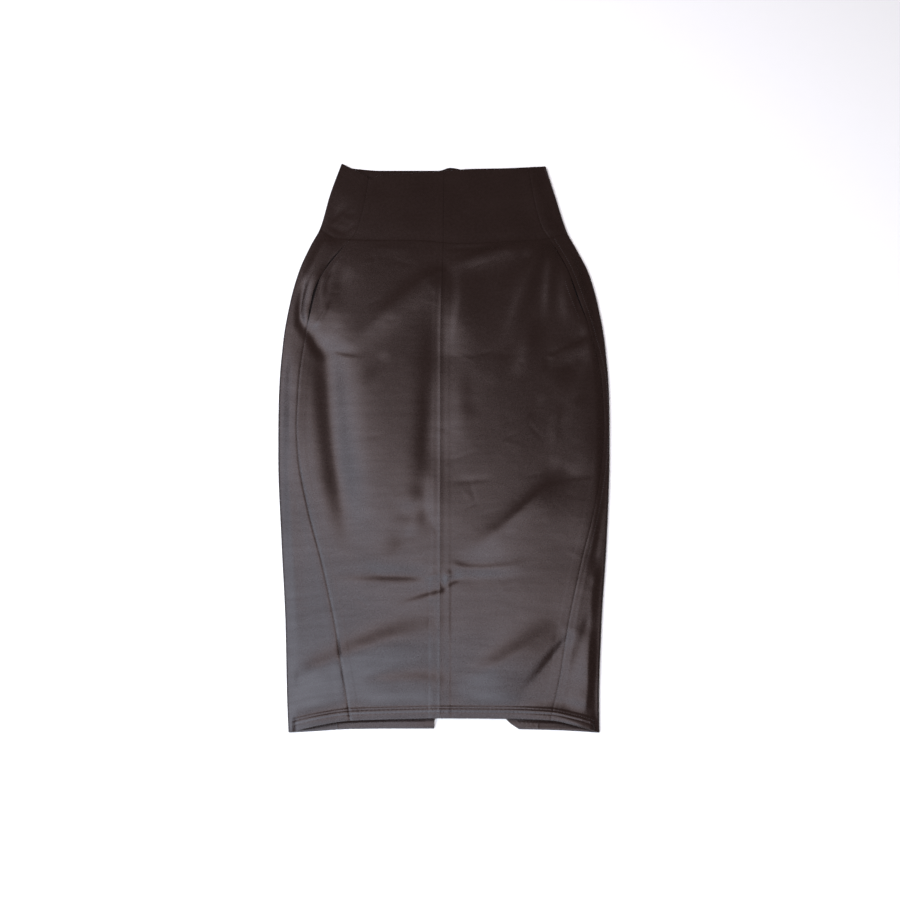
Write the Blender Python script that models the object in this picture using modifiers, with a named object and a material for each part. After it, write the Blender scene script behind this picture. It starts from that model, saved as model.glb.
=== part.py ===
# A high-waisted midi pencil skirt in stretch knit, laid flat on its back.
# Run with: blender --background --python part.py
#
# Metres, +Z up, the underside on z = 0. +Y runs from the hem to the waist, and the front is uppermost.
# Left is -X and right is +X. The tables and sizes below are in millimetres.
#
# The skirt is a flattened tube. A point of the cloth is given by:
#   level  how far it is down the side folds, from the waist corners
#   x      how far it is across
#   turn   0 on the front layer, 180 on the back layer, and between them round a side fold
#   depth  how far it is inside the outer face of the cloth

import math
from collections import namedtuple

import bmesh
import bpy

MM = 0.001

# Driving sizes
LENGTH = 784.0  # waist corner to hem corner
WALL = 1.0  # thickness of the knit
PLY_GAP = 0.3  # between one ply of cloth and the next
SEAM_GAP = 0.3  # between two panels that are sewn edge to edge
FOLD_RADIUS = 3.2  # outer radius of the soft fold down each side
WAISTBAND_DEPTH = 108.0  # down the side fold
HEM_ALLOWANCE = 17.0  # the strip turned up inside the hem
HEM_STEP = 13.9  # between the last levels above the hem
FRONT_SETTLE = 0.8  # how far the front layer sinks between the side folds
SETTLE_REACH = 26.0  # from the side fold to where it has sunk
EDGE_REACH = 24.0  # below the waistband and above the hem, where it has sunk
VENT_TOP = 596.0  # level of the top of the back vent
VENT_FACING_WIDTH = 12.0
POCKET_FIRST_LEVEL = 124.0
POCKET_LAST_LEVEL = 252.0
POCKET_INNER_X = 86.0  # inner side of the right bag
POCKET_UNDERLAP = 6.0  # the back ply of a bag reaches this far past the seam
POCKET_SETBACK = 2.0  # the front ply stops this far short of the seam
POCKET_PLY_GAP = 0.4
POCKET_SWELL = 0.9  # how far a pocket bag lifts the front
POCKET_SOFT_EDGE = 12.0  # over which that lift fades out
LEFT_POCKET_SHIFT = 8.0  # the left bag lies this much nearer the middle
FOLD_FADE = 1.25  # angle whose cosine a fold has left at its ends
ARC_STEPS = 20

# How finely the panels are divided
LEVELS_DOWN_BAND = 4
LEVELS_DOWN_SKIRT = 26
ACROSS_FRONT = 14
ACROSS_BAND_FRONT = 7
ACROSS_BACK = 2
ACROSS_SIDE = 3  # on the front layer

# Derived sizes
FACING_DEPTH = 2 * WALL + PLY_GAP  # outer face to the inner face of a doubled edge
EDGE_RADIUS = FACING_DEPTH / 2  # outer radius of a turned edge
NEXT_PLY = WALL + PLY_GAP
CLEAR_EDGE = SEAM_GAP / 2
FRONT_TOP = 2 * FOLD_RADIUS  # height of the front layer's outer face at the side folds

LEFT, RIGHT = -1, 1


def table(columns, *rows):
    """Rows with named columns. The others are read against the first one."""
    row_type = namedtuple("Row", columns)
    return [row_type(*row) for row in rows]


# Half widths of the flat skirt
OUTLINE = table(
    "level left right",
    (0, 148.5, 147.0),
    (50, 163.0, 159.5),
    (104, 175.0, 173.5),
    (132, 187.5, 186.0),
    (170, 201.5, 201.5),
    (216, 211.5, 211.5),
    (276, 218.5, 218.5),
    (335, 220.5, 220.5),
    (440, 216.8, 216.3),
    (550, 207.0, 207.0),
    (650, 197.0, 195.8),
    (746, 190.0, 188.0),
    (784, 186.5, 186.5),
)

# x of the three seams that run down the front: the two princess seams and the centre front seam.
# The back is the same cut turned half round, so its seams have these places with x reversed.
SEAMS = table(
    "level left centre right",
    (0, -108.0, 0.0, 121.5),
    (50, -114.0, -0.5, 128.0),
    (90, -122.0, -1.0, 137.5),
    (108, -132.0, -1.0, 147.0),
    (153, -163.0, -2.0, 168.0),
    (200, -181.0, -3.0, 183.0),
    (261, -188.0, -4.0, 199.0),
    (335, -193.5, -4.0, 211.0),
    (383, -194.0, -4.0, 211.5),
    (430, -190.5, -4.0, 207.5),
    (505, -175.0, -4.0, 193.5),
    (580, -154.0, -4.0, 173.0),
    (658, -135.5, -4.0, 154.0),
    (734, -121.0, -4.0, 139.5),
    (784, -112.0, -4.0, 127.0),
)

# How far three lines round the skirt stand above or below their place on the left side fold.
# across is -1 at the left fold and 1 at the right fold.
WAIST_EDGE = table(
    "across front back",
    (-1.00, 0.0, 0.0),
    (-0.92, -7.0, -5.0),
    (-0.78, -19.0, -7.5),
    (-0.71, -26.0, -8.5),
    (-0.64, -19.5, -9.0),
    (-0.50, -18.0, -9.0),
    (-0.05, -13.5, -9.0),
    (0.06, -12.0, -4.0),
    (0.25, -9.5, -9.0),
    (0.60, -8.0, -8.0),
    (1.00, -4.0, -4.0),
)
WAISTBAND_SEAM = table(
    "across front back",
    (-1.00, 0.0, 0.0),
    (-0.88, -14.0, -5.0),
    (-0.60, -18.0, -9.0),
    (-0.20, -19.5, -11.0),
    (0.10, -24.0, -11.0),
    (0.50, -21.5, -10.0),
    (0.80, -16.0, -7.0),
    (1.00, -6.0, -6.0),
)
HEM_EDGE = table(
    "across front back",
    (-1.00, 0.0, 0.0),
    (-0.81, 8.0, 2.0),
    (-0.62, 13.0, 4.0),
    (-0.30, 15.0, 4.5),
    (0.00, 16.0, 4.5),
    (0.40, 15.5, 4.0),
    (0.69, 13.5, 3.0),
    (0.88, 6.5, 1.5),
    (1.00, 0.0, 0.0),
)

# x of the back vent's two edges
VENT_EDGES = table(
    "level left right",
    (596, 3.5, 4.5),
    (650, -1.0, 22.0),
    (700, -6.0, 41.0),
    (745, -9.5, 60.0),
    (766, -11.0, 71.0),
    (776, -11.5, 79.0),
    (784, -12.0, 91.0),
)

# How far the front stands back from its princess seam at the pocket mouths
POCKET_MOUTHS = table(
    "level left right",
    (118, 0.0, 0.0),
    (140, 1.8, 0.7),
    (166, 0.5, 0.4),
    (195, 3.2, 1.9),
    (222, 2.4, 1.3),
    (246, 0.0, 0.0),
)

# The lower edge and inner side of the right pocket bag, from the seam round to the waistband
POCKET_OUTLINE = table(
    "x y",
    (194.0, 131.0),
    (184.0, 119.0),
    (168.0, 107.5),
    (150.0, 98.0),
    (130.0, 90.0),
    (110.0, 89.0),
    (94.0, 96.0),
    (POCKET_INNER_X, 114.0),
    (POCKET_INNER_X, 250.0),
)

# The largest folds of the front layer. Each runs along an arc through three points, and one with a
# height below nought is a trough.
FRONT_FOLDS = table(
    "start_x start_y middle_x middle_y end_x end_y half_width height",
    (-177, 98, -160, -25, -122, -172, 13, -2.2),  # long trough beside the left princess seam
    (-24, 165, -30, 15, -60, -150, 15, -2.0),  # trough beside the centre seam
    (-4, 224, -66, 180, -128, 104, 15, -1.6),  # from the waistband down to the left pocket
    (-4, 196, -62, 146, -120, 108, 12, 1.2),  # the ridge below it
    (117, 250, 90, 205, 79, 140, 11, 1.2),  # ridges that fan out from the right end of the waistband
    (122, 240, 60, 236, 16, 170, 12, 1.3),
    (188, 112, 150, 66, 112, 14, 11, 1.5),  # ridge below the right pocket
    (118, -90, 76, -134, 24, -170, 13, -2.0),  # trough above the right knee
    (132, -98, 100, -134, 56, -167, 11, 1.3),
    (-116, -206, -62, -204, -8, -210, 10, -1.8),  # creases that meet over the top of the vent
    (14, -191, 60, -193, 110, -186, 10, -1.6),
    (-68, -238, -30, -227, 16, -208, 9, -1.8),
    (-26, -214, 0, -206, 26, -202, 10, 2.4),
    (-52, -268, -104, -290, -182, -338, 16, -1.8),  # across the lower left side
    (121, -262, 93, -289, 44, -317, 13, -2.0),  # across the lower right front
    (142, -280, 126, -306, 84, -350, 11, -1.8),
    (138, -272, 108, -306, 74, -338, 10, 1.3),
    (196, -214, 186, -280, 172, -342, 12, -2.2),  # down the right side panel
)


def smooth_slopes(places, values):
    """Slopes at the rows of a table that never carry the curve past them."""
    steps = [
        (values[i + 1] - values[i]) / (places[i + 1] - places[i]) for i in range(len(values) - 1)
    ]
    inner = [2 * a * b / (a + b) if a * b > 0 else 0.0 for a, b in zip(steps[:-1], steps[1:])]
    return [steps[0], *inner, steps[-1]]


def smooth_value(rows, column, at):
    """The smooth curve through a column of a table, read at one value of the first column."""
    places = [row[0] for row in rows]
    values = [getattr(row, column) for row in rows]
    slopes = smooth_slopes(places, values)
    at = min(max(at, places[0]), places[-1])
    low = next(i for i in range(len(rows) - 1) if at <= places[i + 1])
    span = places[low + 1] - places[low]
    t = (at - places[low]) / span
    return (
        values[low] * (1 + 2 * t) * (1 - t) ** 2
        + slopes[low] * span * t * (1 - t) ** 2
        + values[low + 1] * t * t * (3 - 2 * t)
        + slopes[low + 1] * span * t * t * (t - 1)
    )


def ease(t):
    """A soft step from 0 to 1."""
    t = min(max(t, 0.0), 1.0)
    return t * t * (3 - 2 * t)


def spread(first, last, count):
    """Evenly spaced values from first to last, count steps apart."""
    return [first + (last - first) * i / count for i in range(count + 1)]


def hand(side):
    return "left" if side == LEFT else "right"


def fold_line(level, side):
    """x where the flat cloth ends and the side fold begins."""
    return side * (smooth_value(OUTLINE, hand(side), level) - FOLD_RADIUS)


def line_offset(line, across, on_back):
    front = smooth_value(line, "front", across)
    back = smooth_value(line, "back", across)
    return front + (back - front) * on_back


def cloth_y(level, x, turn):
    """y of the cloth: the level of the side fold, and how far its lines curve away from that."""
    side = LEFT if x < 0 else RIGHT
    across = min(max(x / abs(fold_line(level, side)), -1.0), 1.0)
    on_back = (1 - math.cos(math.radians(turn))) / 2
    seam = line_offset(WAISTBAND_SEAM, across, on_back)
    if level < WAISTBAND_DEPTH:
        edge = line_offset(WAIST_EDGE, across, on_back)
        share = 1 - level / WAISTBAND_DEPTH
    else:
        edge = line_offset(HEM_EDGE, across, on_back)
        share = (level - WAISTBAND_DEPTH) / (LENGTH - WAISTBAND_DEPTH)
    return LENGTH / 2 - level + seam + (edge - seam) * share


def arc_points(fold):
    """Points of the parabola through a fold's start, middle and end."""
    start, end = (fold.start_x, fold.start_y), (fold.end_x, fold.end_y)
    control = (
        2 * fold.middle_x - (start[0] + end[0]) / 2,
        2 * fold.middle_y - (start[1] + end[1]) / 2,
    )
    points = []
    for t in spread(0.0, 1.0, ARC_STEPS):
        weights = ((1 - t) ** 2, 2 * t * (1 - t), t * t)
        points.append(
            tuple(sum(w * p[i] for w, p in zip(weights, (start, control, end))) for i in (0, 1))
        )
    return points


FOLD_PATHS = [(fold, arc_points(fold)) for fold in FRONT_FOLDS]


def fold_height(x, y):
    """The sum of the folds at a point. A fold has a soft section and fades towards its ends."""
    total = 0.0
    for fold, path in FOLD_PATHS:
        nearest = min(range(len(path)), key=lambda i: math.dist(path[i], (x, y)))
        distance = math.dist(path[nearest], (x, y)) / fold.half_width
        along = abs(2 * nearest / ARC_STEPS - 1)
        total += fold.height * math.cos(FOLD_FADE * along) * math.exp(-distance * distance)
    return total


def pocket_cover(x, y):
    """1 over a pocket bag and 0 away from it, with soft edges."""
    reach = x if x > 0 else LEFT_POCKET_SHIFT - x
    bottom = min(row.y for row in POCKET_OUTLINE)
    top = LENGTH / 2 - WAISTBAND_DEPTH - POCKET_SOFT_EDGE
    across = ease((reach - POCKET_INNER_X) / POCKET_SOFT_EDGE + 1.3)
    down = ease((top - y) / POCKET_SOFT_EDGE) * ease((y - bottom) / POCKET_SOFT_EDGE + 1)
    return across * down


def front_height(level, x, y):
    """Height of the front layer's outer face."""
    inset = min(abs(fold_line(level, side) - x) for side in (LEFT, RIGHT))
    below_band = ease((level - WAISTBAND_DEPTH) / EDGE_REACH)
    above_hem = ease((LENGTH - EDGE_REACH - level) / EDGE_REACH)
    free = ease(inset / SETTLE_REACH) * below_band * above_hem
    settle = FRONT_SETTLE - POCKET_SWELL * pocket_cover(x, y)
    return FRONT_TOP + free * (fold_height(x, y) - settle)


def cloth_point(level, x, turn=0.0, depth=0.0, drop=0.0):
    """Where a point of the cloth lies, in metres. drop moves it down the skirt, as at a turned edge."""
    y = cloth_y(level, x, turn)
    if turn == 0.0:
        z = front_height(level, x, y) - depth
    elif turn == 180.0:
        z = depth
    else:
        side = LEFT if x < 0 else RIGHT
        radius = FOLD_RADIUS - depth
        x = fold_line(level, side) + side * radius * math.sin(math.radians(turn))
        z = FOLD_RADIUS + radius * math.cos(math.radians(turn))
    return x * MM, (y - drop) * MM, z * MM


def turned_edge(level, towards):
    """Rows round a turned edge, from the outer face to the inner one.

    towards is 1 where the edge faces down, at the hem, and -1 at the waist.
    """
    rows = []
    for angle in (60, 120):
        depth = EDGE_RADIUS * (1 - math.cos(math.radians(angle)))
        drop = towards * EDGE_RADIUS * math.sin(math.radians(angle))
        rows.append((level, depth, drop))
    return rows


def waistband_rows():
    """(level, depth, drop) up the outside of the band, over its top edge and down its inside."""
    levels = spread(WAISTBAND_DEPTH - CLEAR_EDGE, EDGE_RADIUS, LEVELS_DOWN_BAND)
    outside = [(level, 0.0, 0.0) for level in levels]
    inside = [(level, FACING_DEPTH, 0.0) for level in reversed(levels)]
    return outside + turned_edge(EDGE_RADIUS, -1) + inside


def skirt_rows():
    """(level, depth, drop) down the outside of a panel, round its hem and up the turned allowance."""
    first, last = WAISTBAND_DEPTH + CLEAR_EDGE, LENGTH - EDGE_RADIUS
    levels = spread(first, last - 2 * HEM_STEP, LEVELS_DOWN_SKIRT) + [last - HEM_STEP, last]
    outside = [(level, 0.0, 0.0) for level in levels]
    inside = [(level, FACING_DEPTH, 0.0) for level in spread(last, last - HEM_ALLOWANCE, 1)]
    return outside + turned_edge(last, 1) + inside


def front_princess(level, side):
    return smooth_value(SEAMS, hand(side), level)


def back_princess(level, side):
    return -smooth_value(SEAMS, hand(-side), level)


def mouth_gap(level, side):
    return smooth_value(POCKET_MOUTHS, hand(side), level)


def centre_back(level, side):
    """x of a back panel's edge, which leaves the centre back seam where the vent opens."""
    if level <= VENT_TOP:
        return side * CLEAR_EDGE - smooth_value(SEAMS, "centre", level)
    return smooth_value(VENT_EDGES, hand(side), level)


def front_columns(level, side, count):
    """(x, turn) from the centre front seam out to the princess seam."""
    inner = smooth_value(SEAMS, "centre", level) + side * CLEAR_EDGE
    outer = front_princess(level, side) - side * (CLEAR_EDGE + mouth_gap(level, side))
    return [(x, 0.0) for x in spread(inner, outer, count)]


def back_columns(level, side):
    """(x, turn) from the princess seam in to the centre back seam or the vent."""
    outer = back_princess(level, side) - side * CLEAR_EDGE
    return [(x, 180.0) for x in spread(outer, centre_back(level, side), ACROSS_BACK)]


def side_columns(level, side):
    """(x, turn) from the front princess seam, round the side fold, to the back princess seam."""
    edge = fold_line(level, side)
    front = front_princess(level, side) + side * CLEAR_EDGE
    back = back_princess(level, side) + side * CLEAR_EDGE
    on_front = [(x, 0.0) for x in spread(front, edge, ACROSS_SIDE)]
    on_back = [(x, 180.0) for x in spread(edge, back, ACROSS_BACK)]
    return on_front + [(edge, turn) for turn in (45, 90, 135)] + on_back


def new_material(name, colour, roughness, metallic=0.0):
    material = bpy.data.materials.new(name)
    material.use_nodes = True
    shader = material.node_tree.nodes["Principled BSDF"]
    shader.inputs["Base Color"].default_value = (*colour, 1.0)
    shader.inputs["Roughness"].default_value = roughness
    shader.inputs["Metallic"].default_value = metallic
    return material


def add_object(name, data, material, collection):
    data.materials.append(material)
    piece = bpy.data.objects.new(name, data)
    collection.objects.link(piece)
    return piece


def add_panel(name, rows, columns, material, collection):
    """One cut piece of cloth. Its outer face is a grid laid through rows and columns, and Solidify
    gives the wall.

    rows lists (level, depth, drop), and columns(level) lists (x, turn) across the piece. They run so
    that the grid faces out of the skirt.
    """
    across = len(columns(rows[0][0])) - 1
    down = len(rows) - 1
    bm = bmesh.new()
    bmesh.ops.create_grid(bm, x_segments=across, y_segments=down, size=0.5)
    cells = sorted(bm.verts, key=lambda v: (round((v.co.y + 0.5) * down), v.co.x))
    for index, vert in enumerate(cells):
        row, column = divmod(index, across + 1)
        level, depth, drop = rows[row]
        x, turn = columns(level)[column]
        vert.co = cloth_point(level, x, turn, depth, drop)
    for face in bm.faces:
        face.smooth = True
    mesh = bpy.data.meshes.new(name)
    bm.to_mesh(mesh)
    bm.free()
    piece = add_object(name, mesh, material, collection)
    wall = piece.modifiers.new("wall", "SOLIDIFY")
    wall.thickness = WALL * MM
    wall.offset = -1.0
    wall.use_even_offset = True
    return piece


def facing_rows():
    """(level, depth, drop) of a vent facing, which lies on the panel and steps up on to the hem."""
    hem_top = LENGTH - HEM_ALLOWANCE - EDGE_RADIUS
    on_panel = spread(VENT_TOP + 2.0, hem_top - 7.0, 5)
    on_hem = [hem_top - 2.0, LENGTH - 10.0]
    rows = [(level, NEXT_PLY, 0.0) for level in on_panel]
    return rows + [(level, 2 * NEXT_PLY, 0.0) for level in on_hem]


def facing_columns(level, side):
    """(x, turn) across a vent facing, from its far side to the vent."""
    edge = centre_back(level, side) + side * CLEAR_EDGE
    return [(edge + side * VENT_FACING_WIDTH, 180.0), (edge, 180.0)]


def add_pocket_ply(name, side, reach, bottom, material, collection):
    """One flat ply of a pocket bag. It reaches this far past the princess seam, and its lower face
    is at bottom.
    """
    outline = []
    for level in spread(POCKET_FIRST_LEVEL, POCKET_LAST_LEVEL, 8):
        x = front_princess(level, side)
        outline.append((x + side * reach, cloth_y(level, x, 0.0)))
    shift = LEFT_POCKET_SHIFT if side == LEFT else 0.0
    outline += [(side * (row.x - shift), row.y) for row in POCKET_OUTLINE]
    curve = bpy.data.curves.new(name, "CURVE")
    curve.dimensions = "2D"
    curve.fill_mode = "BOTH"
    curve.extrude = WALL / 2 * MM
    spline = curve.splines.new("POLY")
    spline.points.add(len(outline) - 1)
    for point, (x, y) in zip(spline.points, outline):
        point.co = (x * MM, y * MM, 0.0, 1.0)
    spline.use_cyclic_u = True
    piece = add_object(name, curve, material, collection)
    piece.location.z = (bottom + WALL / 2) * MM


def facing_out(columns, side):
    """The rows run downwards, so a grid faces out where its front runs from +X to -X."""
    return columns if side == LEFT else (lambda level: columns(level)[::-1])


def build_side(side, knit, lining, collection):
    """The pieces of one half of the skirt."""
    band, skirt = waistband_rows()[::-1], skirt_rows()
    panels = (
        ("skirt_front", skirt, lambda level: front_columns(level, side, ACROSS_FRONT)),
        ("skirt_side", skirt, lambda level: side_columns(level, side)),
        ("skirt_back", skirt, lambda level: back_columns(level, side)),
        ("waistband_front", band, lambda level: front_columns(level, side, ACROSS_BAND_FRONT)),
        ("waistband_side", band, lambda level: side_columns(level, side)),
        ("waistband_back", band, lambda level: back_columns(level, side)),
        ("vent_facing", facing_rows(), lambda level: facing_columns(level, side)),
    )
    for name, rows, columns in panels:
        add_panel(f"{name}_{hand(side)}", rows, facing_out(columns, side), knit, collection)

    plies = (
        ("pocket_back_ply", POCKET_UNDERLAP, NEXT_PLY),
        ("pocket_front_ply", -POCKET_SETBACK, NEXT_PLY + WALL + POCKET_PLY_GAP),
    )
    for name, reach, bottom in plies:
        add_pocket_ply(f"{name}_{hand(side)}", side, reach, bottom, lining, collection)


def main():
    for old in list(bpy.data.objects):
        bpy.data.objects.remove(old)
    collection = bpy.data.collections.new("midi_pencil_skirt")
    bpy.context.scene.collection.children.link(collection)
    knit = new_material("brown_black_knit", (0.040, 0.031, 0.030), 0.62)
    lining = new_material("pocket_knit", (0.030, 0.024, 0.023), 0.70)
    for side in (LEFT, RIGHT):
        build_side(side, knit, lining, collection)


main()
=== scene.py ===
# A high-waisted midi pencil skirt in dark stretch knit, laid flat on its back, the front uppermost.
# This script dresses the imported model: every panel becomes fine cloth with folds, seams and stitches.
#
# The tables are in millimetres, +Y from hem to waist, +X to the right. A point of the cloth is
#   level  how far it is down the side folds from the waist corners
#   x      how far it is across
#   turn   0 on the front layer, 180 on the back layer, and between them round a side fold
#   depth  how far it is inside the outer face of the cloth

import math

import bmesh
import bpy
import numpy as np
from mathutils import Matrix, Vector


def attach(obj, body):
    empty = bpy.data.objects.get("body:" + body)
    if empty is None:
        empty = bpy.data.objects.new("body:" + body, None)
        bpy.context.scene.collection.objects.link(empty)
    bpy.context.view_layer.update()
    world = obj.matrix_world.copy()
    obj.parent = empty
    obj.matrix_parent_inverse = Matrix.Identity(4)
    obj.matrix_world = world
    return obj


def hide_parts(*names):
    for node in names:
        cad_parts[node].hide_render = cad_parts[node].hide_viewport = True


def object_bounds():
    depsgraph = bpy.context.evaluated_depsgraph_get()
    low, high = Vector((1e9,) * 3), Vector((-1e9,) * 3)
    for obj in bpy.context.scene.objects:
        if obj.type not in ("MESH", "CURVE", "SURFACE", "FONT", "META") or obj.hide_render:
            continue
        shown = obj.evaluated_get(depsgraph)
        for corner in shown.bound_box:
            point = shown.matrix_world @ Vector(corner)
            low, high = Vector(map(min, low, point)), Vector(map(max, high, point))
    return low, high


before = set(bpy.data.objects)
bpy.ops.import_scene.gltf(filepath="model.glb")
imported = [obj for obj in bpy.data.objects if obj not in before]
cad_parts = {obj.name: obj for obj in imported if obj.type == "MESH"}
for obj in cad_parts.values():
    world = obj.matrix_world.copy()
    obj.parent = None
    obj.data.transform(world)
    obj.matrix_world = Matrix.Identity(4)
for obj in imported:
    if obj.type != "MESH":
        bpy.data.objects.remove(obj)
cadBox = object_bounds()

skirt = {
    "length": 784.0,  # waist corner to hem corner, down a side fold
    "modelLength": 783.71,  # of the whole laid skirt
    "wall": 1.0,  # thickness of the knit
    "plyGap": 0.3,
    "seamGap": 0.2,
    "foldRadius": 3.2,  # of the soft fold down each side
    "bandDepth": 108.0,
    "hemDepth": 17.0,
    "ventTop": 596.0,
    "facingWidth": 12.0,
    "facingEnds": (2.0, 3.0),  # short of the vent's top and the hem edge
    "facingStep": (7.0, 2.0),  # from its step up, over the turned-up hem
}
millimetre = (cadBox[1].y - cadBox[0].y) / skirt["modelLength"]
doubled = 2 * skirt["wall"] + skirt["plyGap"]  # outer face to the inner face of a doubled edge
edgeRadius = doubled / 2
nextPly = skirt["wall"] + skirt["plyGap"]
clearEdge = skirt["seamGap"] / 2
left, right = -1, 1


# The camera stands over the hem and looks down at the middle of the skirt

view = {
    "distance": 1.30,  # metres
    "tilt": 18.0,  # degrees from straight down
    "lens": 39.23,
    "shift": (0.0066667, -0.0301111),  # shares of the frame
}


def addObject(name, data):
    added = bpy.data.objects.new(name, data)
    bpy.context.scene.collection.objects.link(added)
    return added


def addCamera():
    data = bpy.data.cameras.new("camera")
    data.lens = view["lens"]
    data.sensor_width = 36.0
    data.shift_x, data.shift_y = view["shift"]
    camera = addObject("camera", data)
    tilt = math.radians(view["tilt"])
    camera.location = (0.0, -view["distance"] * math.sin(tilt), view["distance"] * math.cos(tilt))
    camera.rotation_euler = (tilt, 0.0, 0.0)
    bpy.context.scene.camera = camera


addCamera()
print("camera: set")


# Outlines and seam lines

# half widths of the flat skirt: level, left, right
outline = [
    (0, 148.5, 147.0),
    (50, 163.0, 159.5),
    (104, 175.0, 173.5),
    (132, 187.5, 186.0),
    (170, 201.5, 201.5),
    (216, 211.5, 211.5),
    (276, 218.5, 218.5),
    (335, 220.5, 220.5),
    (440, 216.8, 216.3),
    (550, 207.0, 207.0),
    (650, 197.0, 195.8),
    (746, 190.0, 188.0),
    (784, 186.5, 186.5),
]

# x of the seams on the front: level, left princess, centre, right princess
seams = [
    (0, -108.0, 0.0, 121.5),
    (50, -114.0, -0.5, 128.0),
    (90, -122.0, -1.0, 137.5),
    (108, -132.0, -1.0, 147.0),
    (153, -163.0, -2.0, 168.0),
    (200, -181.0, -3.0, 183.0),
    (261, -188.0, -4.0, 199.0),
    (335, -193.5, -4.0, 211.0),
    (383, -194.0, -4.0, 211.5),
    (430, -190.5, -4.0, 207.5),
    (505, -175.0, -4.0, 193.5),
    (580, -154.0, -4.0, 173.0),
    (658, -135.5, -4.0, 154.0),
    (734, -121.0, -4.0, 139.5),
    (784, -112.0, -4.0, 127.0),
]

# how far lines round the skirt stand above their place on the left fold: across, front, back
waistEdge = [
    (-1.00, 0.0, 0.0),
    (-0.92, -7.0, -5.0),
    (-0.78, -19.0, -7.5),
    (-0.71, -26.0, -8.5),
    (-0.64, -19.5, -9.0),
    (-0.50, -18.0, -9.0),
    (-0.05, -13.5, -9.0),
    (0.06, -12.0, -4.0),
    (0.25, -9.5, -9.0),
    (0.60, -8.0, -8.0),
    (1.00, -4.0, -4.0),
]
waistbandSeam = [
    (-1.00, 0.0, 0.0),
    (-0.88, -14.0, -5.0),
    (-0.60, -18.0, -9.0),
    (-0.20, -19.5, -11.0),
    (0.10, -24.0, -11.0),
    (0.50, -21.5, -10.0),
    (0.80, -16.0, -7.0),
    (1.00, -6.0, -6.0),
]
hemEdge = [
    (-1.00, 0.0, 0.0),
    (-0.81, 8.0, 2.0),
    (-0.62, 13.0, 4.0),
    (-0.30, 15.0, 4.5),
    (0.00, 16.0, 4.5),
    (0.40, 15.5, 4.0),
    (0.69, 13.5, 3.0),
    (0.88, 6.5, 1.5),
    (1.00, 0.0, 0.0),
]

# x of the back vent's edges: level, left, right
ventEdges = [
    (596, 3.5, 4.5),
    (650, -1.0, 22.0),
    (700, -6.0, 41.0),
    (745, -9.5, 60.0),
    (766, -11.0, 71.0),
    (776, -11.5, 79.0),
    (784, -12.0, 91.0),
]

# how far the front stands back from its princess seam at the pocket mouths: level, left, right
pocketMouths = [
    (118, 0.0, 0.0),
    (140, 1.8, 0.7),
    (166, 0.5, 0.4),
    (195, 3.2, 1.9),
    (222, 2.4, 1.3),
    (246, 0.0, 0.0),
]

# how far the hem edge curls up: x, front, back
hemCurl = [
    (-190, 1.2, 1.0),
    (-150, 2.8, 1.5),
    (-115, 1.8, 1.7),
    (-60, 0.8, 1.3),
    (-20, 0.3, 1.8),
    (30, 0.0, 0.8),
    (80, 0.3, 1.4),
    (120, 2.4, 2.2),
    (150, 3.6, 2.2),
    (188, 2.4, 1.2),
]


def curveThrough(rows, column):
    # a smooth line through one column of a table, read against its first column
    places = np.array([row[0] for row in rows], float)
    values = np.array([row[column] for row in rows], float)
    steps = np.diff(values) / np.diff(places)
    same = steps[:-1] * steps[1:] > 0
    slopes = np.zeros(len(rows))
    slopes[0], slopes[-1] = steps[0], steps[-1]
    total = np.where(same, steps[:-1] + steps[1:], 1.0)
    slopes[1:-1] = np.where(same, 2 * steps[:-1] * steps[1:] / total, 0.0)

    def read(at):
        at = np.clip(at, places[0], places[-1])
        low = np.clip(np.searchsorted(places, at, side="right") - 1, 0, len(places) - 2)
        span = places[low + 1] - places[low]
        t = (at - places[low]) / span
        ends = values[low] * (1 + 2 * t) * (1 - t) ** 2 + values[low + 1] * t * t * (3 - 2 * t)
        return ends + span * t * (1 - t) * (slopes[low] * (1 - t) - slopes[low + 1] * t)

    return read


halfWidth, ventEdge, mouthGap = (
    {left: curveThrough(rows, 1), right: curveThrough(rows, 2)}
    for rows in (outline, ventEdges, pocketMouths))
princess = {left: curveThrough(seams, 1), right: curveThrough(seams, 3)}
centreSeam = curveThrough(seams, 2)
frontCurl, backCurl = curveThrough(hemCurl, 1), curveThrough(hemCurl, 2)
lines = {"waist": waistEdge, "band": waistbandSeam, "hem": hemEdge}
lineOnFront = {name: curveThrough(rows, 1) for name, rows in lines.items()}
lineOnBack = {name: curveThrough(rows, 2) for name, rows in lines.items()}


def ease(t):
    t = np.clip(t, 0.0, 1.0)
    return t * t * (3 - 2 * t)


def bump(distance, width):
    return np.exp(-((distance / width) ** 2))


def grown(value, start, reach, share=0.0):
    # from the share to the whole, as the value goes on from start over the reach
    return share + (1 - share) * ease((value - start) / reach)


def foldLine(level, side):
    # x where the flat cloth ends and the side fold begins
    return side * (halfWidth[side](level) - skirt["foldRadius"])


def clothY(level, x, turn):
    leftLine, rightLine = foldLine(level, left), foldLine(level, right)
    across = np.clip(np.where(x < 0, -x / leftLine, x / rightLine), -1.0, 1.0)
    onBack = (1 - np.cos(np.radians(turn))) / 2

    def offset(name):
        front, back = lineOnFront[name](across), lineOnBack[name](across)
        return front + (back - front) * onBack

    band = skirt["bandDepth"]
    seam = offset("band")
    share = np.where(level < band, 1 - level / band, (level - band) / (skirt["length"] - band))
    edge = np.where(level < band, offset("waist"), offset("hem"))
    return skirt["length"] / 2 - level + seam + (edge - seam) * share


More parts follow.
